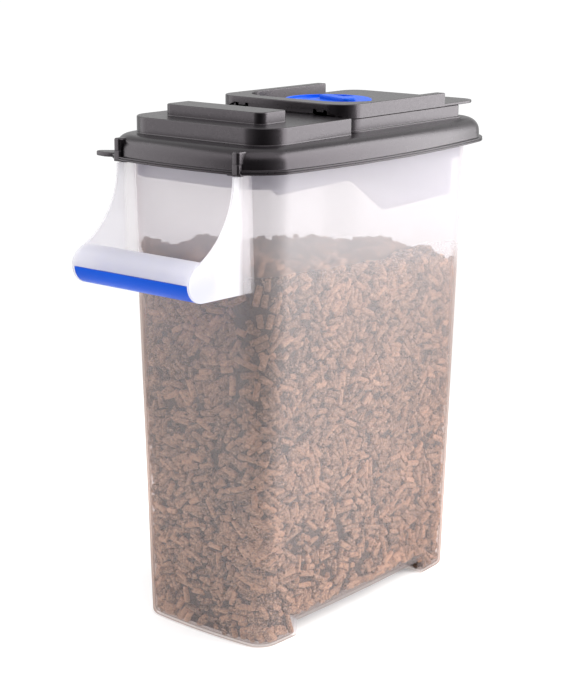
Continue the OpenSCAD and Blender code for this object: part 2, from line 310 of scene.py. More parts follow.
def take_mesh(obj):
    """Replaces an object's mesh by its evaluated one and drops the modifiers."""
    graph = bpy.context.evaluated_depsgraph_get()
    mesh = bpy.data.meshes.new_from_object(obj.evaluated_get(graph))
    obj.modifiers.clear()
    obj.data = mesh


def combine(base, operation, *parts):
    """Boolean of base with each part in turn. The parts are removed."""
    for part in parts:
        m = base.modifiers.new("combine", "BOOLEAN")
        m.operation = operation
        m.solver = "EXACT"
        m.object = part
        take_mesh(base)
        bpy.data.objects.remove(part)
    return base


def fuse(base, *parts):
    return combine(base, "UNION", *parts)


def cut(base, *parts):
    return combine(base, "DIFFERENCE", *parts)


def finish_piece(obj, name, body, material, nodes=(), sharp=32):
    """Moves a finished shape to the row frame and says what it is."""
    obj.name = name
    obj.data.name = name
    obj.data.transform(Matrix.Translation((0, shift_y * MM, 0)) @ Matrix.Scale(MM, 4))
    obj.data.materials.clear()
    obj.data.materials.append(material)
    obj.data.polygons.foreach_set("use_smooth", [True] * len(obj.data.polygons))
    obj.data.set_sharp_from_angle(angle=math.radians(sharp))
    weighted = obj.modifiers.new("normals", "WEIGHTED_NORMAL")
    weighted.keep_sharp = True
    take_mesh(obj)
    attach(obj, body)
    if nodes:
        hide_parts(*nodes)
    return obj


# ---- materials -------------------------------------------------------------------------------
class Shader:
    """A node material under construction."""

    def __init__(self, name):
        self.material = bpy.data.materials.new(name)
        self.material.use_nodes = True
        self.nodes = self.material.node_tree.nodes
        self.nodes.clear()
        self.out = self.nodes.new("ShaderNodeOutputMaterial")

    def node(self, kind, settings=None, **inputs):
        n = self.nodes.new(kind)
        for key, value in (settings or {}).items():
            setattr(n, key, value)
        for key, value in inputs.items():
            self.put(n, key.replace("_", " "), value)
        return n

    def put(self, n, socket, value):
        """Sets or links an input. A key that is a number picks the socket by its place."""
        target = n.inputs[socket]
        if isinstance(value, bpy.types.NodeSocket):
            self.material.node_tree.links.new(value, target)
        else:
            target.default_value = value

    def place(self):
        return self.node("ShaderNodeTexCoord").outputs["Object"]

    def noise(self, scale, detail=2.0, rough=0.5, stretch=(1, 1, 1)):
        mapping = self.node("ShaderNodeMapping", Vector=self.place(), Scale=stretch)
        n = self.node("ShaderNodeTexNoise", Vector=mapping.outputs[0], Scale=scale, Detail=detail,
                      Roughness=rough)
        return n.outputs["Fac"]

    def blend(self, factor, a, b):
        n = self.node("ShaderNodeMix", {"data_type": "RGBA"})
        self.put(n, 0, factor)
        self.put(n, 6, a)
        self.put(n, 7, b)
        return n.outputs[2]

    def level(self, value, low, high, to_low, to_high):
        """value from low..high mapped to to_low..to_high, clamped."""
        n = self.node("ShaderNodeMapRange")
        for place, v in enumerate((value, low, high, to_low, to_high)):
            self.put(n, place, v)
        return n.outputs[0]

    def bump(self, height, strength, distance):
        return self.node("ShaderNodeBump", Height=height, Strength=strength, Distance=distance).outputs[0]

    def mix(self, factor, a, b):
        n = self.node("ShaderNodeMixShader")
        self.put(n, 0, factor)
        self.put(n, 1, a)
        self.put(n, 2, b)
        return n.outputs[0]

    def done(self, surface):
        self.put(self.out, "Surface", surface)
        return self.material


def moulded(name, colour, colour_2, roughness, grain, coat=0.0, shine=0.5, shine_tint=(1, 1, 1, 1)):
    """Moulded plastic: fine grain, faint flow marks in the gloss and colour."""
    s = Shader(name)
    flow = s.noise(14, 3, 0.55)
    fine = s.noise(2600, 1, 0.5)
    soft = s.noise(420, 2, 0.5)
    height = s.node("ShaderNodeMath", {"operation": "ADD"})
    s.put(height, 0, fine)
    s.put(height, 1, soft)
    p = s.node("ShaderNodeBsdfPrincipled")
    s.put(p, "Base Color", s.blend(s.level(flow, 0.35, 0.65, 0, 1), colour, colour_2))
    s.put(p, "Roughness", s.level(soft, 0.3, 0.7, roughness - 0.03, roughness + 0.04))
    s.put(p, "Normal", s.bump(height.outputs[0], grain, 0.0002))
    p.inputs["Specular IOR Level"].default_value = shine
    p.inputs["Specular Tint"].default_value = shine_tint
    p.inputs["Coat Weight"].default_value = coat
    p.inputs["Coat Roughness"].default_value = 0.25
    return s.done(p.outputs[0])


def frosted(name, colour, thick_colour, clear, rough, gloss, tint, edge_tints):
    """Thin frosted plastic: part clear, part milky, with a soft gloss.

    clear gives the clear share low on the bin, at the fill line, at the rim and in the thick
    handle; its fall up the wall is painted light, the wall made milkier where light comes through
    above the pellets. edge_tints gives the tint below and above the fill line where the wall is seen
    edge-on; the brown below the fill line is a painted view of the pellets through the wall.
    """
    s = Shader(name)
    flow = s.noise(9, 3, 0.6)
    fine = s.noise(260, 2, 0.5)
    split = s.node("ShaderNodeSeparateXYZ", Vector=s.place()).outputs
    in_handle = s.level(split["Y"], HANDLE_Y, HANDLE_Y - 0.006, 0, 1)
    # the clear share falls with height: painted light, the wall made milkier where light comes through it
    # above the pellets
    filled = s.level(split["Z"], PAINTED_LIGHT_LOW, FILL_Z, clear[0], clear[1])
    thin = s.level(split["Z"], FILL_Z, PAINTED_LIGHT_HIGH, filled, clear[2])
    share = s.level(in_handle, 0, 1, thin, clear[3])
    uneven = s.node("ShaderNodeMath", {"operation": "ADD"})
    s.put(uneven, 0, share)
    s.put(uneven, 1, s.level(flow, 0.3, 0.7, -0.006, 0.010))
    # below the fill line the wall seen edge-on takes the pellets' brown: a painted view of the pellets
    # through the wall; above it a paler tint of the plastic
    facing = s.node("ShaderNodeLayerWeight", Blend=0.5).outputs["Facing"]
    edge = s.blend(s.level(split["Z"], FILL_Z - 0.02, FILL_Z + 0.01, 0, 1), *edge_tints)
    edge_on_view = s.level(facing, 0.44, 0.66, 0, 1)
    through = s.node("ShaderNodeBsdfTransparent", Color=s.blend(edge_on_view, tint, edge))
    tone = s.blend(in_handle, colour, thick_colour)
    milk = s.node("ShaderNodeBsdfTranslucent", Color=tone)
    pale = s.blend(s.level(flow, 0.3, 0.7, 0, 0.03), tone, (0.3, 0.3, 0.3, 1))
    skin = s.node("ShaderNodeBsdfDiffuse", Color=pale)
    base = s.mix(uneven.outputs[0], s.mix(0.5, milk.outputs[0], skin.outputs[0]), through.outputs[0])
    shine = s.node("ShaderNodeBsdfGlossy", Color=(1, 0.965, 0.98, 1), Normal=s.bump(fine, 0.02, 0.0002),
                   Roughness=s.level(fine, 0.3, 0.7, rough - 0.02, rough + 0.03))
    return s.done(s.mix(gloss, base, shine.outputs[0]))


def pellet_material(name, dark, light, fleck):
    """Pressed fibre: brown, each pellet its own tone, with specks and cracks; the near black in the cracks is
    painted shade.
    """
    s = Shader(name)
    tone = s.node("ShaderNodeAttribute", {"attribute_name": "tone"}).outputs["Fac"]
    specks = s.noise(560, 3, 0.65)
    cracks = s.noise(300, 3, 0.7, (1, 1, 2.0))
    base = s.blend(tone, dark, light)
    base = s.blend(s.level(specks, 0.45, 0.65, 0, 0.8), base, fleck)
    # near black in the cracks: painted shade in them; the bump gives their relief
    base = s.blend(s.level(cracks, 0.54, 0.64, 0, 0.8), base, (0.035, 0.019, 0.013, 1))
    p = s.node("ShaderNodeBsdfPrincipled", Base_Color=base, Roughness=0.85)
    p.inputs["Specular IOR Level"].default_value = 0.2
    s.put(p, "Normal", s.bump(cracks, 0.5, 0.0006))
    return s.done(p.outputs[0])


def metal(name, colour, roughness):
    s = Shader(name)
    grain = s.noise(1500, 2, 0.5, (0.1, 1, 1))
    p = s.node("ShaderNodeBsdfPrincipled", Metallic=1.0)
    s.put(p, "Base Color", s.blend(grain, colour, tuple(0.85 * c for c in colour[:3]) + (1,)))
    s.put(p, "Roughness", s.level(grain, 0.3, 0.7, roughness - 0.06, roughness + 0.06))
    return s.done(p.outputs[0])


black = moulded("black_plastic", (0.0052, 0.0044, 0.0052, 1), (0.0074, 0.0063, 0.0074, 1), 0.30, 0.10,
                coat=0.12, shine=0.46, shine_tint=(1.0, 0.88, 0.97, 1))
blue = moulded("blue_plastic", (0.002, 0.085, 0.62, 1), (0.003, 0.10, 0.70, 1), 0.36, 0.05, shine=0.12)
# the clear share falls from 0.93 low on the bin to 0.71 at the rim: painted light, milkier where light comes
# through above the pellets
tub_plastic = frosted("frosted_plastic", (0.88, 0.86, 0.88, 1), (0.94, 0.935, 0.96, 1),
                      (0.93, 0.79, 0.71, 0.36), 0.33, 0.035, (0.955, 0.945, 0.95, 1),
                      # brown edge tint below the fill line: a painted view of the pellets through the wall
                      ((0.68, 0.59, 0.545, 1), (0.92, 0.90, 0.905, 1)))
chute_plastic = frosted("frosted_grey", (0.66, 0.66, 0.74, 1), (0.66, 0.66, 0.74, 1),
                        (0.42, 0.42, 0.42, 0.42), 0.4, 0.03, (0.90, 0.905, 0.95, 1),
                        ((0.7, 0.72, 0.8, 1), (0.7, 0.72, 0.8, 1)))
seal_clear = moulded("clear_seal", (0.62, 0.62, 0.60, 1), (0.68, 0.68, 0.66, 1), 0.5, 0.04)
seal_black = moulded("black_seal", (0.02, 0.02, 0.02, 1), (0.03, 0.03, 0.03, 1), 0.65, 0.2)
steel = metal("steel", (0.62, 0.61, 0.59, 1), 0.28)
pellets_look = pellet_material("pressed_pellets", (0.060, 0.029, 0.018, 1), (0.46, 0.258, 0.156, 1),
                               (0.68, 0.43, 0.285, 1))
# a darker copy of the pellets: painted shade, for the back wall layer and the core
pellets_painted_shade = pellet_material("pellets_painted_shade", (0.035, 0.018, 0.013, 1), (0.10, 0.057, 0.04, 1),
                               (0.14, 0.085, 0.06, 1))


# ---- tub -------------------------------------------------------------------------------------
def tub_rings(d, low, high, radius):
    """Rings of the leaning tub moved in by d, with a rounded lower edge."""
    steps = 6
    rings = []
    for k in range(steps + 1):
        t = math.pi / 2 * k / steps
        rings.append(at_z(tub_outline(low, d + radius * (1 - math.sin(t))),
                          low + radius * (1 - math.cos(t))))
    for z in np.linspace(low + radius, high, 10)[1:]:
        rings.append(at_z(tub_outline(z, d), z))
    return rings


def foot_gap(grow, radius):
    """The hollow between the feet, with rounded upper edges."""
    half, top = foot_y + grow, foot_h + grow
    loop = rounded([(-half, -5, 0), (half, -5, 0), (half, top, radius), (-half, top, radius)], 6, True)
    return cross_prism(loop, -120, 120)


def web_loop():
    """Side view (y, z) of a handle web: nose round the grip and a hollow curve above it."""
    root = -(tub_l / 2 - 12)
    top_y, a, b, top_z = -178, 78, 75, lip_z - 1.7
    nose = arc(-grip_y, grip_z, nose_r, 270, -112, 28)
    t = np.radians(69 - 69 * np.arange(37) / 36)
    curve = np.stack([top_y - a + a * np.cos(t), top_z - b * np.sin(t)], 1)
    loop = np.concatenate([[(root, grip_z - nose_r - 1.5)], nose, curve, [(root, top_z)]])
    return loop[::-1]


def upper_half(r_out, r_in):
    """Section (y, z) of the upper half of a tube round the grip axis."""
    return np.concatenate([arc(-grip_y, grip_z, r_out, 0, 180, 36),
                           arc(-grip_y, grip_z, r_in, 180, -180, 36)])


def tub():
    outer = tub_rings(0, 0, rim_z - 2.9, 3.5)
    outer += [at_z(lid_outline(6.6), z) for z in (rim_z - 2.4, rim_z - 0.5)]
    outer += [at_z(lid_outline(7.0), rim_z)]
    body = ring_solid(outer, "bin_body")
    for side in (-1, 1):
        x0, x1 = sorted((side * web_x, side * (web_x - web_t)))
        body = fuse(body, cross_prism(web_loop(), x0, x1, 0.5))
    bar_half = web_x - web_t / 2
    bar = cross_prism(upper_half(tube_r, tube_r - tube_t), -bar_half, bar_half)
    rib = upper_half(tube_r - tube_t / 2, rib_r)
    bar = fuse(bar, *[cross_prism(rib, x - rib_t / 2, x + rib_t / 2) for x in rib_places])
    body = fuse(body, bar)
    cavity = ring_solid(tub_rings(wall, wall, rim_z + 2, 3))
    cavity = cut(cavity, foot_gap(wall, 3))
    body = cut(body, cavity, foot_gap(0, 1.5))
    return finish_piece(body, "tub_shell", "tub", tub_plastic, ["bin_body"])


def grip():
    """Blue lower half of the grip, a hair below the upper half."""
    z = grip_z - 0.3
    section = np.concatenate([arc(-grip_y, z, tube_r, 181.2, 177.6, 40),
                              arc(-grip_y, z, tube_r - tube_t, 358.2, -176.4, 36)])
    cover = cross_prism(section, -grip_half, grip_half, 0.35)
    return finish_piece(cover, "grip_lower_cover", "tub", blue, ["grip_cover"])


# ---- lid -------------------------------------------------------------------------------------
def lid_profile():
    """(inset, height) of the lid's section, from under the deck out to the lip and up to the deck."""
    under = deck_z - lid_t
    return rounded([(skirt_in + 1 + shoulder, under, 0), (skirt_in + 1 + lid_t, under, shoulder - lid_t),
                    (skirt_in + lid_t, lip_z, 0.4), (0, lip_z, 0.7), (0, lip_z + 1.5, 0.4),
                    (0.7, lip_z + 1.8, 0.2), (0.7, lip_z + 2.1, 0.2), (0.1, lip_z + 2.4, 0.3),
                    (0.1, lip_z + lip_t, 0.5), (skirt_in, lip_z + lip_t + 0.2, 0.8),
                    (skirt_in + 0.9, deck_z, shoulder - 0.8), (skirt_in + 2 + shoulder, deck_z, 0)], 8)


def pad(outline, z0, z1, flare, edge, steps=5):
    """Raised pad with a hollow fillet at its foot and a rounded upper edge."""
    turn = [math.pi / 2 * k / steps for k in range(steps + 1)]
    profile = [(-flare, z0 - 2)]
    profile += [(-flare * (1 - math.sin(t)), z0 + flare * (1 - math.cos(t))) for t in turn]
    profile += [(edge * (1 - math.cos(t)), z1 - edge * (1 - math.sin(t))) for t in turn]
    return ring_solid([at_z(inset(plan(*outline), d), z) for d, z in profile])


def lugs():
    """Pads on the front of the skirt that hook over the two handle webs."""
    front = lid_l / 2 - 4.9
    made = []
    for s in (-1, 1):
        x = s * web_x
        made.append(box(x - 4, x + 4, -front, -front + 6.2, lip_z - 0.6, rim_z + 2, 1.2))
        made.append(box(x - 4, x + 4, -front, -front + 12, rim_z + 0.6, deck_z - 2, 1.6))
        x0, x1 = sorted((x + s * 5, x - s * 10))
        made.append(box(x0, x1, -front + 1, -front + 6.2, lip_z - 1.1, lip_z + 1.5, 0.7))
    return made


def lift_tab():
    """Tongue at the front left corner for lifting the lid."""
    loop = [(-4, -9), (6, -9)] + list(map(tuple, arc(13, 0, 5, -62, 124, 14))) + [(6, 9), (-4, 9)]
    tab = prism(loop, 0.2, 4.2, 0.8, 1.0)
    tab.data.transform(Matrix.Translation((-90, -158, lip_z)) @ Matrix.Rotation(math.radians(196), 4, "Z"))
    return tab


def collar_cutters():
    """Hollow inside the collar, with the two ledges left standing, and the mouth through the deck."""
    inner = door_w - 1 - 2 * collar_t
    lip_front = door_front + front_wall + 2.5
    back = collar_rear - collar_t
    lower = prism(plan(inner, collar_front + 12, back, 12, 2), deck_z, ledge_bottom)
    upper = prism(plan(inner, lip_front, back, 4, 2), ledge_bottom - 1, collar_top + 1)
    hollow = fuse(lower, upper)
    for s in (-1, 1):
        x0, x1 = sorted((s * ledge_in, s * door_w))
        hollow = cut(hollow, box(x0, x1, knob_y - ledge_y, knob_y + ledge_y, ledge_bottom, collar_top + 2))
    mouth = prism(plan(mouth_w, collar_front + 12, back - 2, 6, 6), deck_z - 8, deck_z + 1)
    return [hollow, mouth]


def hinge_hooks():
    """Hooks on the collar that hold the pins, and the eyes round the pins."""
    root = hinge_y + 7
    made = []
    for s in (-1, 1):
        x0, x1 = s * pin_x - ear_t / 2, s * pin_x + ear_t / 2
        made.append(rod(x0, x1, hinge_y, hinge_z, 2.8, 32, 0.3))
        loop = [(hinge_y, hinge_z - 2.2), (root - 3.4, hinge_z - 2), (root - 1, hinge_z - 4.4),
                (root, collar_top - 1), (root + 4, collar_top - 1), (root + 4, hinge_z - 1.6),
                (root - 1, hinge_z + 1.6), (hinge_y, hinge_z + 2.6)]
        made.append(cross_prism(loop, x0 + 0.1, x1 - 0.1, 0.2))
    return made


def ring_between(outer, inner, z0, z1):
    """Upright ring between two loops."""
    return cut(prism(outer, z0, z1), prism(inner, z0 - 1, z1 + 1))


def lid():
    """Black lid: skirt, platform, cross bar, collar, hooks and pads, hollow underneath."""
    shell = raised(lid_outline, lid_profile(), "lid")
    pads = [pad(platform, deck_z, platform_z, 1.1, 1.0), pad(cross_bar, platform_z, bar_z, 0.8, 1.0),
            pad(collar, deck_z + 1.6, collar_top, 0.6, 0.5),
            prism(plan(*collar_base), deck_z - 1, deck_z + 1.6, 0, 0.6)]
    shell = fuse(shell, *pads, *lugs(), lift_tab())
    under = deck_z - lid_t + 0.5
    shell = fuse(shell, ring_between(tub_outline(rim_z, -3), tub_outline(rim_z, wall + 1.2), seal_top, under))
    hollows = [prism(plan(*platform_hollow), deck_z - 5, platform_z - lid_t),
               prism(plan(*bar_hollow), platform_z - 5, bar_z - lid_t)]
    shell = cut(shell, *hollows, *collar_cutters(),
                rod(-door_w / 2 - 0.4, door_w / 2 + 0.4, hinge_y, hinge_z, cove_r, 64))
    shell = fuse(shell, *hinge_hooks())
    for s in (-1, 1):
        shell = cut(shell, rod(s * pin_x - ear_t, s * pin_x + ear_t, hinge_y, hinge_z, pin_r, 32))
    return finish_piece(shell, "lid_moulding", "lid_assembly", black, ["lid"])


# ---- pour door -------------------------------------------------------------------------------
def wall_loop():
    """U-shaped wall of the door, seen from above, counter-clockwise."""
    h, r = door_w / 2, 23
    hi = h - door_side
    recess = door_front + front_wall
    return rounded([(-h, wall_end, 1.5), (-h, door_front, r), (h, door_front, r), (h, wall_end, 1.5),
                    (hi, wall_end, 1.5), (hi, recess, recess_r), (-hi, recess, recess_r),
                    (-hi, wall_end, 1.5)], 12, closed=True)


def pour_door():
    """Black door: plate, hollow U-shaped wall, hinge barrel, boss for the catch, groove for the seal."""
    plate = plan(door_w, door_front, door_rear, 23, 18, 16)
    door = prism(plate, door_bottom, plate_top, 0.6, 0.6, "pour_door")
    door = fuse(door, prism(wall_loop(), door_bottom + 0.3, door_top, 0, 0.9))
    recess = door_front + front_wall
    door = cut(door, prism(plan(2 * (pin_x + 18), door_front + door_shell, recess - door_shell, 11, 1),
                           door_bottom - 1, door_top - door_shell))
    for s in (-1, 1):
        for k in (-1, 1):
            x = s * pin_x + k * (ear_t + door_rib_t + 2 * ear_gap) / 2
            door = fuse(door, box(x - door_rib_t / 2, x + door_rib_t / 2, door_front + 1, recess - 1,
                                  door_bottom, door_top - 1))
    boss = prism(arc(0, knob_y, shank_r + 4, 0, 360, 48)[:-1], door_bottom - boss_h, door_bottom + 1,
                 0.4, 0)
    bead = box(-55, 55, door_rear - 6.2, door_rear - 4, door_bottom - 2.5, door_bottom + 1)
    door = fuse(door, boss, bead)
    nose = box(-door_w, door_w, door_front - 1, hinge_y, door_bottom - 1, hinge_z)
    nose = cut(nose, rod(-door_w - 1, door_w + 1, hinge_y, hinge_z, barrel_r, 64))
    door = cut(door, nose)
    for s in (-1, 1):
        door = cut(door, box(s * pin_x - ear_t / 2 - ear_gap, s * pin_x + ear_t / 2 + ear_gap,
                             door_front - 1, hinge_y + 1, door_bottom - 1, hinge_z - 2.4),
                   rod(s * pin_x - pin_len / 2, s * pin_x + pin_len / 2, hinge_y, hinge_z,
                       pin_r + 0.06, 32))
    door = cut(door, prism(arc(0, knob_y, shank_r + shank_gap, 0, 360, 48)[:-1], door_bottom - 5,
                           plate_top + 2))
    groove = plan(door_w - 1 - collar_t, recess + 1, collar_rear - collar_t / 2, 4, 3, 8)
    door = cut(door, ring_between(inset(groove, -0.8), inset(groove, 0.8), door_bottom - 1,
                                  door_bottom + 1.2))
    return finish_piece(door, "pour_door_moulding", "door", black, ["pour_door"])


# ---- catch knob ------------------------------------------------------------------------------
def knob():
    """Round knob: one half dished for the finger, the other with a raised grip."""
    base_z = plate_top + 0.3
    top = base_z + knob_h
    disc = prism(arc(0, 0, knob_r, 0, 360, 96)[:-1], base_z, top, 0.6, 1.2, "catch_knob")
    turn = Matrix.Rotation(math.radians(knob_turn), 4, "Z")
    fin_loop = rounded([(-6, -7, 3), (knob_r - 2.5, -7, 4), (knob_r - 2.5, 7, 4), (-6, 7, 3)], 6, True)
    fin = prism(fin_loop, top - 1, top + grip_fin_h, 0, 1.4)
    fin.data.transform(turn)
    dish = cut(prism(arc(0, 0, knob_r - 4, 0, 360, 72)[:-1], top - dish_depth, top + 3, 1.8, 0),
               box(-9, knob_r + 5, -knob_r, knob_r, top - 8, top + 6))
    dish.data.transform(turn)
    disc = cut(fuse(disc, fin), dish)
    shank = prism(arc(0, 0, shank_r, 0, 360, 40)[:-1], ledge_bottom - 0.5, base_z + 1)
    tenon = box(-tenon_half, tenon_half, -tenon_half, tenon_half, ledge_bottom - 3.7, ledge_bottom + 0.5)
    disc = fuse(disc, shank, tenon)
    disc = cut(disc, prism(arc(0, 0, screw_r, 0, 360, 24)[:-1], ledge_bottom - 5, ledge_bottom + 5.3))
    disc.data.transform(Matrix.Translation((0, knob_y, 0)))
    return finish_piece(disc, "quarter_turn_knob", "catch", blue, ["catch_knob"])


# ---- pellets ---------------------------------------------------------------------------------
def turning(arm, axis, force):
    """Moment of a force at a distance along an axis."""
    return arm * (axis[:, 0] * force[:, 1] - axis[:, 1] * force[:, 0])


def settle(centre, angle, half, radius, period, keep, rounds=60):
    """Pushes flat capsules apart until they lie side by side. keep() holds them in their area."""
    count = len(half)
    for step in range(rounds):
        if step % 4 == 0:
            gap = centre[:, None, :] - centre[None, :, :]
            if period:
                gap[..., 0] -= period * np.round(gap[..., 0] / period)
            reach = half[:, None] + half[None, :] + 2 * radius
            near = (gap ** 2).sum(-1) < reach ** 2
            i, j = np.nonzero(np.triu(near, 1))
        d = centre[i] - centre[j]
        if period:
            d[:, 0] -= period * np.round(d[:, 0] / period)
        u = np.stack([np.cos(angle[i]), np.sin(angle[i])], 1)
        v = np.stack([np.cos(angle[j]), np.sin(angle[j])], 1)
        b, du, dv = (u * v).sum(1), (u * d).sum(1), (v * d).sum(1)
        s = np.clip((b * dv - du) / np.maximum(1 - b * b, 1e-6), -half[i], half[i])
        t = np.clip(b * s + dv, -half[j], half[j])
        s = np.clip(b * t - du, -half[i], half[i])
        away = d + s[:, None] * u - t[:, None] * v
        dist = np.maximum(np.hypot(away[:, 0], away[:, 1]), 1e-6)
        push = np.maximum(2 * radius - dist, 0) * 0.35
        n = away / dist[:, None] * push[:, None]
        move = np.zeros((count, 2))
        turn = np.zeros(count)
        np.add.at(move, i, n)
        np.add.at(move, j, -n)
        np.add.at(turn, i, turning(s, u, n) * 3 / (half[i] + radius) ** 2)
        np.add.at(turn, j, -turning(t, v, n) * 3 / (half[j] + radius) ** 2)
        centre = keep(centre + np.clip(move, -2, 2))
        angle = angle + np.clip(turn, -0.3, 0.3)
    return centre, angle


def inside_tub(p):
    """How deep each point lies inside the inner face of the tub wall."""
    z = p[:, 2]
    hx = tub_w / 2 + draft * z - wall - tub_bow
    hy = tub_l / 2 + draft * z - wall - tub_bow
    r = floor_r + (rim_r - floor_r) * z / rim_z - wall
    x = np.abs(p[:, 0]) / (1 + tub_bow / hx * (1 - np.clip(p[:, 1] / hy, -1, 1) ** 2))
    y = np.abs(p[:, 1]) / (1 + tub_bow / hy * (1 - np.clip(p[:, 0] / hx, -1, 1) ** 2))
    qx, qy = x - (hx - r), y - (hy - r)
    out = np.hypot(np.maximum(qx, 0), np.maximum(qy, 0)) + np.minimum(np.maximum(qx, qy), 0) - r
    return -out


def heap_z(x, y):
    """Height of the heap: it falls towards the pour end, with soft humps."""
    humps = 3.0 * np.sin(0.055 * y + 0.9) * np.cos(0.043 * x) + 2.0 * np.sin(0.09 * x + 0.07 * y)
    return fill_z - fill_slope * y + humps + 4.0 * (1 - (x / 85) ** 2)


def floor_z(y):
    """Height of the inside of the floor: it is raised between the feet."""
    return np.where(np.abs(y) < foot_y + wall, foot_h + wall, wall)


def pellet_mesh(name, centre, axis, length, sides, fine, seed):
    """One mesh of all the pellets of a layer: ragged cylinders, each with its own tone."""
    pick = np.random.default_rng(seed)
    count = len(length)
    side = np.cross(axis, [0.3, 0.5, 0.81])
    side /= np.linalg.norm(side, axis=1)[:, None]
    other = np.cross(axis, side)
    if fine:
        stations = [(-1, 0.62, -0.25), (-1, 0.93, 0.05), (-0.9, 1.0, 0), (0.0, 1.0, 0), (0.9, 1.0, 0),
                    (1, 0.93, -0.05), (1, 0.62, 0.25)]
    else:
        stations = [(-1, 0.9, 0), (1, 0.9, 0)]
    rings = len(stations)
    a = np.radians(360 * np.arange(sides) / sides)
    verts = np.zeros((count, rings, sides, 3))
    bend = pick.normal(0, 0.25, (count, 1)) * fine
    lump = 1 + pick.normal(0, 0.045, (count, sides))
    for k, (along, width, ragged) in enumerate(stations):
        rough = pick.normal(0, 0.28, (count, sides)) if fine and k in (0, 1, rings - 2, rings - 1) else 0
        r = pellet_r * width * lump * (1 + pick.normal(0, 0.02, (count, sides)))
        t = along * length[:, None] / 2 + ragged + rough
        verts[:, k] = (centre[:, None] + axis[:, None] * t[..., None]
                       + side[:, None] * (r * np.cos(a) + bend * (along == 0))[..., None]
                       + other[:, None] * (r * np.sin(a))[..., None])
    base = (np.arange(count) * rings * sides)[:, None]
    i = np.arange(sides)
    j = (i + 1) % sides
    quads = []
    for k in range(rings - 1):
        q = np.stack([k * sides + i, k * sides + j, (k + 1) * sides + j, (k + 1) * sides + i], 1)
        quads.append((base[:, :, None] + q[None]).reshape(-1, 4))
    low = base + i[::-1][None]
    high = base + ((rings - 1) * sides + i)[None]
    faces = np.concatenate(quads).tolist() + low.tolist() + high.tolist()
    obj = link(name, verts.reshape(-1, 3), faces)
    tone = np.repeat(np.clip(pick.normal(0.5, 0.28, count), 0, 1), rings * sides).astype(np.float32)
    obj.data.attributes.new("tone", "FLOAT", "POINT").data.foreach_set("value", tone)
    return obj


def pellet_lengths(count):
    return np.clip(rng.normal(14.5, 3.4, count), 8, 22)


def wall_layer(depth, tilt_share, fill):
    """Pellets that lie along the inside of the wall, as (centre, axis, length).

    tilt_share of them lean inwards, and together they cover the share fill of the wall.
    """
    low, high = tub_outline(0, wall), tub_outline(rim_z, wall)
    mid = tub_outline(fill_z / 2, wall + depth)
    step = np.linalg.norm(np.roll(mid, -1, 0) - mid, axis=1)
    s_at = np.concatenate([[0], np.cumsum(step)])
    period = s_at[-1]

    def on_wall(s, z):
        """Point of the inner face at distance s round the tub and height z, and the tangent there."""
        place = np.interp(np.mod(s, period), s_at, np.arange(len(s_at)))
        k = np.minimum(place.astype(int), len(mid) - 1)
        f = (place - k)[:, None]
        t = (z / rim_z)[:, None]
        a = low[k] * (1 - t) + high[k] * t
        b = low[(k + 1) % len(low)] * (1 - t) + high[(k + 1) % len(low)] * t
        tangent = (b - a) / np.linalg.norm(b - a, axis=1)[:, None]
        return a * (1 - f) + b * f, tangent

    top = fill_z + 30
    most = 6000
    length = pellet_lengths(most)
    tilt = np.where(rng.random(most) < tilt_share, rng.uniform(20, 85, most), rng.normal(0, 6, most))
    tilt = np.radians(np.abs(tilt)) * rng.choice([-1, 1], most)
    half = np.maximum(length / 2 * np.cos(tilt) - 0.5 * pellet_r, 0.1)
    area = np.cumsum(4 * half * pellet_r + math.pi * pellet_r ** 2)
    count = int(np.searchsorted(area, fill * period * (top - wall)))
    length, tilt, half = length[:count], tilt[:count], half[:count]
    centre = np.stack([rng.uniform(0, period, count), rng.uniform(wall + 3, top, count)], 1)
    angle = rng.normal(0, 0.95, count)

    def keep(c):
        c[:, 1] = np.clip(c[:, 1], wall + pellet_r, top)
        return c

    centre, angle = settle(centre, angle, half, pellet_r, period, keep)
    edge, tangent = on_wall(centre[:, 0], centre[:, 1])
    inward = np.stack([-tangent[:, 1], tangent[:, 0]], 1)
    flat = np.stack([tangent[:, 0] * np.cos(angle), tangent[:, 1] * np.cos(angle), np.sin(angle)], 1)
    normal = np.column_stack([inward, np.zeros(count)])
    axis = flat * np.cos(tilt)[:, None] + normal * np.sin(tilt)[:, None]
    into = depth + pellet_r * np.cos(tilt) + length / 2 * np.abs(np.sin(tilt)) + rng.uniform(0, 1.8, count)
    p = np.column_stack([edge, centre[:, 1]]) + normal * into[:, None]
    for _ in range(4):
        ends = np.stack([inside_tub(p + axis * (length / 2 * k)[:, None]) for k in (-1, 1)]).min(0)
        p += normal * np.maximum(pellet_r + 0.3 - ends, 0)[:, None]
    reach = np.abs(axis[:, 2]) * length / 2 + pellet_r * np.sqrt(1 - axis[:, 2] ** 2)
    p[:, 2] = np.maximum(p[:, 2], floor_z(p[:, 1]) + reach + 0.2)
    under = p[:, 2] < heap_z(p[:, 0], p[:, 1]) - 1
    return p[under], axis[under], length[under]


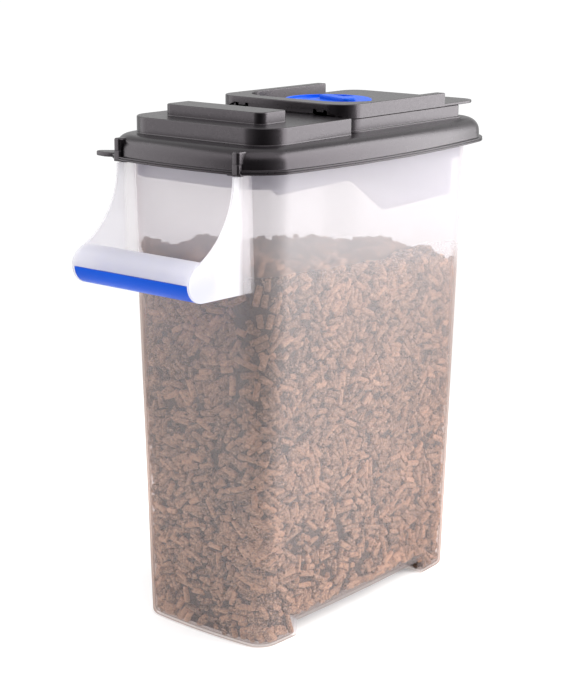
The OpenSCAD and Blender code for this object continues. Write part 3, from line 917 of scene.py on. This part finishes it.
def top_layer(depth, fill):
    """Pellets on the heap."""
    half_x, half_y = tub_w / 2 + draft * fill_z - 8, tub_l / 2 + draft * fill_z - 8
    most = 2000
    length = pellet_lengths(most)
    tilt = rng.normal(0, 0.22, most)
    half = length / 2 - 0.5 * pellet_r
    area = np.cumsum(4 * half * pellet_r + math.pi * pellet_r ** 2)
    count = int(np.searchsorted(area, fill * 4 * half_x * half_y))
    length, tilt, half = length[:count], tilt[:count], half[:count]
    centre = rng.uniform((-half_x, -half_y), (half_x, half_y), (count, 2))

    def keep(c):
        return np.clip(c, (-half_x, -half_y), (half_x, half_y))

    centre, angle = settle(centre, rng.uniform(0, math.pi, count), half, pellet_r, 0, keep)
    axis = np.stack([np.cos(angle) * np.cos(tilt), np.sin(angle) * np.cos(tilt), np.sin(tilt)], 1)
    z = heap_z(centre[:, 0], centre[:, 1]) - depth + rng.uniform(-1.5, 1.5, count)
    axis[:, 2] -= fill_slope * axis[:, 1]
    axis /= np.linalg.norm(axis, axis=1)[:, None]
    p = np.column_stack([centre, z])
    for _ in range(6):
        ends = np.stack([inside_tub(p + axis * (length / 2 * k)[:, None]) for k in (-1, 1)]).min(0)
        pull = np.maximum(pellet_r + 0.3 - ends, 0)[:, None]
        p[:, :2] -= np.sign(p[:, :2]) * pull * 0.7
    return p, axis, length


def pellet_core():
    """Bulk behind the pellets that show, close enough to the wall to close the gaps, painted dark as the
    shade between them.
    """
    back = wall + core_depth
    top = fill_z + 40
    bulk = cut(ring_solid(tub_rings(back, wall + 0.6, top, 3)), foot_gap(wall + 2.5, 3))
    n = 24
    x, y = np.meshgrid(np.linspace(-110, 110, n), np.linspace(-190, 190, n), indexing="ij")
    under = np.column_stack([x.ravel(), y.ravel(), heap_z(x, y).ravel() - 5])
    over = under + (0, 0, 120)
    faces = []
    for i in range(n - 1):
        for j in range(n - 1):
            a = i * n + j
            quad = (a, a + n, a + n + 1, a + 1)
            faces += [tuple(reversed(quad)), tuple(n * n + v for v in quad)]
    rim = ([(i, 0) for i in range(n)] + [(n - 1, j) for j in range(1, n)]
           + [(i, n - 1) for i in range(n - 2, -1, -1)] + [(0, j) for j in range(n - 2, 0, -1)])
    loop = [i * n + j for i, j in rim]
    for a, b in zip(loop, loop[1:] + loop[:1]):
        faces.append((a, b, n * n + b, n * n + a))
    return cut(bulk, link("air", np.concatenate([under, over]), faces))


def pellets():
    """Two layers of pellets along the wall and two on the heap, round a core; the back wall layer and the
    core are painted dark as shade.
    """
    wall_side = wall_layer(0.15, 0.25, 0.97)
    behind = wall_layer(3.2, 0.35, 0.85)
    heap = [np.concatenate(pair) for pair in zip(top_layer(0, 0.85), top_layer(4.5, 0.8))]
    at_handle = wall_side[0][:, 1] < 0
    for name, chosen, seed, nodes in (("pellets_handle_end", at_handle, 3, ["feed_pellets"]),
                                      ("pellets_pour_end", ~at_handle, 6, ())):
        seen = pellet_mesh(name, *[part[chosen] for part in wall_side], 8, True, seed)
        finish_piece(seen, name, "tub", pellets_look, nodes, 50)
    finish_piece(pellet_mesh("pellets_on_top", *heap, 10, True, 5), "pellets_on_top", "tub",
                 pellets_look, (), 50)
    # the back layer wears the darker copy: painted shade between the front pellets
    finish_piece(pellet_mesh("pellets_behind", *behind, 8, False, 4), "pellets_behind", "tub",
                 pellets_painted_shade, (), 50)
    finish_piece(pellet_core(), "pellets_core", "tub", pellets_painted_shade, (), 50)


# ---- carried-over CAD nodes --------------------------------------------------------------------
def dress():
    for node, material in (("lid_gasket", seal_clear), ("pour_chute", chute_plastic),
                           ("door_gasket", seal_black), ("hinge_pins", steel),
                           ("catch_bar", black), ("catch_screw", steel)):
        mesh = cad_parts[node].data
        mesh.materials.clear()
        mesh.materials.append(material)


tub()
grip()
lid()
pour_door()
knob()
pellets()
dress()


# ---- stage, light and camera -------------------------------------------------------------------
AZIMUTH = 0.6860143    # radians, compass angle of the camera, as seen from the bin
ELEVATION = 0.2492702
ROLL = 0.0048691
CAMERA_PLACE = (0.98187, -1.19458, 0.63854)
LENS = 86.87
FLOOR_GLOW = 0.22
WHITE = (1, 1, 1, 1)


def floor():
    """White floor, lit a little from below like a studio sweep, that fades out into the background."""
    radius = 3.0
    loop = arc(0, 0, radius, 0, 360, 96)[:-1]
    obj = link("floor", at_z(loop, 0), [tuple(range(len(loop)))])
    s = Shader("floor_white")
    away = s.node("ShaderNodeVectorMath", {"operation": "LENGTH"})
    s.put(away, 0, s.place())
    fade = s.level(away.outputs["Value"], 0.35, 0.85, 0, 1)
    paint = s.node("ShaderNodeBsdfDiffuse")
    s.put(paint, "Color", s.blend(s.noise(3, 2), (0.93, 0.93, 0.935, 1), (0.95, 0.95, 0.95, 1)))
    glow = s.node("ShaderNodeEmission", Color=WHITE, Strength=FLOOR_GLOW)
    lit = s.node("ShaderNodeAddShader")
    s.put(lit, 0, paint.outputs[0])
    s.put(lit, 1, glow.outputs[0])
    clear = s.node("ShaderNodeBsdfTransparent")
    obj.data.materials.append(s.done(s.mix(fade, lit.outputs[0], clear.outputs[0])))


def softbox(name, azimuth, distance, height, size, aim_z, radiance):
    """Area light at a compass angle counted from the handle side, aimed at a height of the bin."""
    data = bpy.data.lights.new(name, "AREA")
    data.shape = "RECTANGLE"
    data.size, data.size_y = size
    data.energy = radiance * math.pi * size[0] * size[1]
    obj = bpy.data.objects.new(name, data)
    bpy.context.scene.collection.objects.link(obj)
    a = math.radians(azimuth)
    place = Vector((math.sin(a) * distance, -math.cos(a) * distance, height))
    aim = Vector((0, 0, aim_z))
    obj.location = place
    obj.rotation_euler = (place - aim).to_track_quat("Z", "Y").to_euler()
    obj.visible_camera = False


def lights():
    softbox("key_right", 134, 1.7, 1.02, (1.9, 2.1), 0.6, 5.8)
    softbox("fill_left", -52, 1.7, 1.02, (1.8, 2.1), 0.6, 2.1)
    softbox("top", 60, 0.9, 2.0, (1.8, 1.8), 0.2, 1.2)
    world = bpy.data.worlds.new("studio")
    bpy.context.scene.world = world
    world.use_nodes = True
    nodes, links = world.node_tree.nodes, world.node_tree.links
    nodes.clear()

    def node(kind, **settings):
        n = nodes.new(kind)
        for key, value in settings.items():
            setattr(n, key, value)
        return n

    # the room is bright behind the bin and dim on the photographer's side
    side = node("ShaderNodeVectorMath", operation="DOT_PRODUCT")
    links.new(node("ShaderNodeTexCoord").outputs["Generated"], side.inputs[0])
    side.inputs[1].default_value = (math.sin(AZIMUTH), -math.cos(AZIMUTH), 0)
    dim = node("ShaderNodeMapRange")
    links.new(side.outputs["Value"], dim.inputs[0])
    for place, value in enumerate((0.55, 0.95, 0.75, 0.06), 1):
        dim.inputs[place].default_value = value
    room = node("ShaderNodeBackground")
    room.inputs["Color"].default_value = WHITE
    links.new(dim.outputs[0], room.inputs["Strength"])
    seen = node("ShaderNodeBackground")
    seen.inputs["Color"].default_value = WHITE
    seen.inputs["Strength"].default_value = 1.05
    mix = node("ShaderNodeMixShader")
    links.new(node("ShaderNodeLightPath").outputs["Is Camera Ray"], mix.inputs[0])
    links.new(room.outputs[0], mix.inputs[1])
    links.new(seen.outputs[0], mix.inputs[2])
    links.new(mix.outputs[0], node("ShaderNodeOutputWorld").inputs["Surface"])


def camera():
    data = bpy.data.cameras.new("camera")
    obj = bpy.data.objects.new("camera", data)
    bpy.context.scene.collection.objects.link(obj)
    data.lens = LENS
    data.sensor_width = 36
    data.clip_end = 50
    back = Vector((math.sin(AZIMUTH) * math.cos(ELEVATION), -math.cos(AZIMUTH) * math.cos(ELEVATION),
                   math.sin(ELEVATION)))
    right = Vector((math.cos(AZIMUTH), math.sin(AZIMUTH), 0))
    up = back.cross(right)
    turned = math.cos(ROLL) * right + math.sin(ROLL) * up
    upright = -math.sin(ROLL) * right + math.cos(ROLL) * up
    rotation = Matrix((turned, upright, back)).transposed()
    obj.matrix_world = Matrix.Translation(CAMERA_PLACE) @ rotation.to_4x4()
    bpy.context.scene.camera = obj


floor()
lights()
camera()
bpy.context.scene.view_settings.view_transform = "Standard"

bpy.context.view_layer.update()
